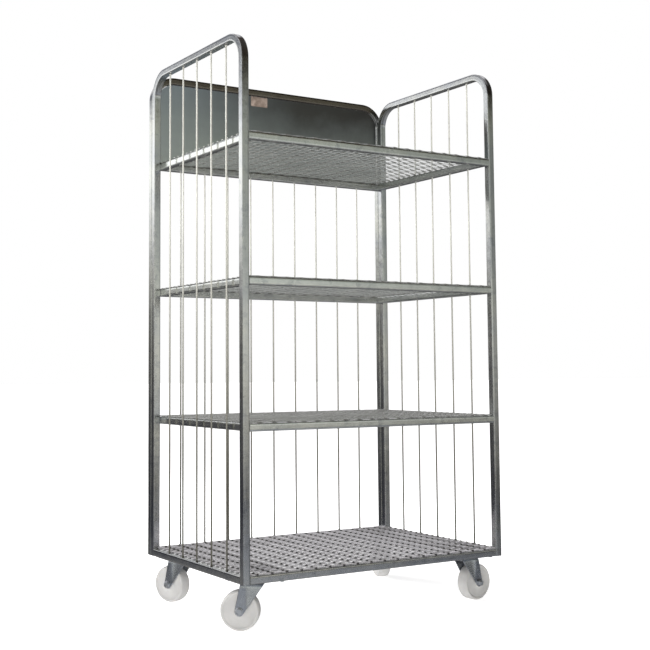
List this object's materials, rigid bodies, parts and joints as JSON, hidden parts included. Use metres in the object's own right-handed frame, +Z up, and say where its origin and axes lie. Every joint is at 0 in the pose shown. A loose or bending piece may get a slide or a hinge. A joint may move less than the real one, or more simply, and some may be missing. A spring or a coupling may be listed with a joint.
{
  "type": "roll cage container",
  "caption": "Tall open-front wire cage on swivel casters, with fixed mesh shelves, rodded sides and back, and a sheet panel at the top of the back.",
  "frame": {"origin": "middle of the bounding box's bottom face, on the floor under the cage", "axes": "+X to the right seen from the open front, +Y from the open front to the back, +Z up"},
  "size_m": [1.075, 0.709, 1.921],
  "materials": {
    "zinc_tube": "bright zinc plate over bent square tube, slightly clouded",
    "zinc_rod": "bright zinc plate over drawn rod",
    "zinc_mesh": "zinc-plated expanded metal, sheared edges",
    "galvanised_sheet": "galvanised sheet, dull, grey-green",
    "label_foil": "plain pale foil without lettering",
    "zinc_pressing": "bluish zinc plate over pressed sheet",
    "bright_bolt": "bright zinc plate with a faint yellow passivation",
    "nylon": "natural white moulded nylon, slightly translucent"
  },
  "bodies": {
    "cage": {"left_frame_tube": "zinc_tube", "left_bottom_rail": "zinc_tube", "left_rod_1": "zinc_rod", "left_rod_2": "zinc_rod", "left_rod_3": "zinc_rod", "left_rod_4": "zinc_rod", "left_rod_5": "zinc_rod", "left_frame_bolt_upper": "bright_bolt", "left_frame_bolt_lower": "bright_bolt", "right_frame_tube": "zinc_tube", "right_bottom_rail": "zinc_tube", "right_rod_1": "zinc_rod", "right_rod_2": "zinc_rod", "right_rod_3": "zinc_rod", "right_rod_4": "zinc_rod", "right_rod_5": "zinc_rod", "right_frame_bolt_upper": "bright_bolt", "right_frame_bolt_lower": "bright_bolt", "rear_frame_tube": "zinc_tube", "rear_bottom_rail": "zinc_tube", "rear_rod_1": "zinc_rod", "rear_rod_2": "zinc_rod", "rear_rod_3": "zinc_rod", "rear_rod_4": "zinc_rod", "rear_rod_5": "zinc_rod", "rear_rod_6": "zinc_rod", "rear_rod_7": "zinc_rod", "rear_rod_8": "zinc_rod", "rear_rod_9": "zinc_rod", "rear_panel": "galvanised_sheet", "label_plate": "label_foil", "base_rim": "zinc_tube", "base_mesh": "zinc_mesh", "lower_shelf_rim": "zinc_tube", "lower_shelf_mesh": "zinc_mesh", "middle_shelf_rim": "zinc_tube", "middle_shelf_mesh": "zinc_mesh", "upper_shelf_rim": "zinc_tube", "upper_shelf_mesh": "zinc_mesh", "front_left_caster_plate": "zinc_pressing", "front_left_kingpin": "bright_bolt", "front_right_caster_plate": "zinc_pressing", "front_right_kingpin": "bright_bolt", "rear_left_caster_plate": "zinc_pressing", "rear_left_kingpin": "bright_bolt", "rear_right_caster_plate": "zinc_pressing", "rear_right_kingpin": "bright_bolt"},
    "front_left_swivel": {"front_left_fork": "zinc_pressing", "front_left_axle_bolt": "bright_bolt"},
    "front_left_roller": {"front_left_wheel": "nylon"},
    "front_right_swivel": {"front_right_fork": "zinc_pressing", "front_right_axle_bolt": "bright_bolt"},
    "front_right_roller": {"front_right_wheel": "nylon"},
    "rear_left_swivel": {"rear_left_fork": "zinc_pressing", "rear_left_axle_bolt": "bright_bolt"},
    "rear_left_roller": {"rear_left_wheel": "nylon"},
    "rear_right_swivel": {"rear_right_fork": "zinc_pressing", "rear_right_axle_bolt": "bright_bolt"},
    "rear_right_roller": {"rear_right_wheel": "nylon"}
  },
  "joints": [
    {"name": "front_left_swivel_turn", "type": "hinge", "parent": "cage", "child": "front_left_swivel", "pos_m": [-0.44687, -0.2695, 0.1465], "axis": [0, 0, 1], "continuous": true},
    {"name": "front_left_wheel_spin", "type": "hinge", "parent": "front_left_swivel", "child": "front_left_roller", "pos_m": [-0.47679, -0.24527, 0.0636], "axis": [-0.6293, -0.7771, 0], "continuous": true},
    {"name": "front_right_swivel_turn", "type": "hinge", "parent": "cage", "child": "front_right_swivel", "pos_m": [0.43413, -0.2695, 0.1465], "axis": [0, 0, 1], "continuous": true},
    {"name": "front_right_wheel_spin", "type": "hinge", "parent": "front_right_swivel", "child": "front_right_roller", "pos_m": [0.47242, -0.26548, 0.0636], "axis": [-0.1045, 0.9945, 0], "continuous": true},
    {"name": "rear_left_swivel_turn", "type": "hinge", "parent": "cage", "child": "rear_left_swivel", "pos_m": [-0.44687, 0.2442, 0.1465], "axis": [0, 0, 1], "continuous": true},
    {"name": "rear_left_wheel_spin", "type": "hinge", "parent": "rear_left_swivel", "child": "rear_left_roller", "pos_m": [-0.46375, 0.2788, 0.0636], "axis": [-0.8988, -0.4384, 0], "continuous": true},
    {"name": "rear_right_swivel_turn", "type": "hinge", "parent": "cage", "child": "rear_right_swivel", "pos_m": [0.44813, 0.2442, 0.1465], "axis": [0, 0, 1], "continuous": true},
    {"name": "rear_right_wheel_spin", "type": "hinge", "parent": "rear_right_swivel", "child": "rear_right_roller", "pos_m": [0.46002, 0.28082, 0.0636], "axis": [-0.9511, 0.309, 0], "continuous": true}
  ]
}
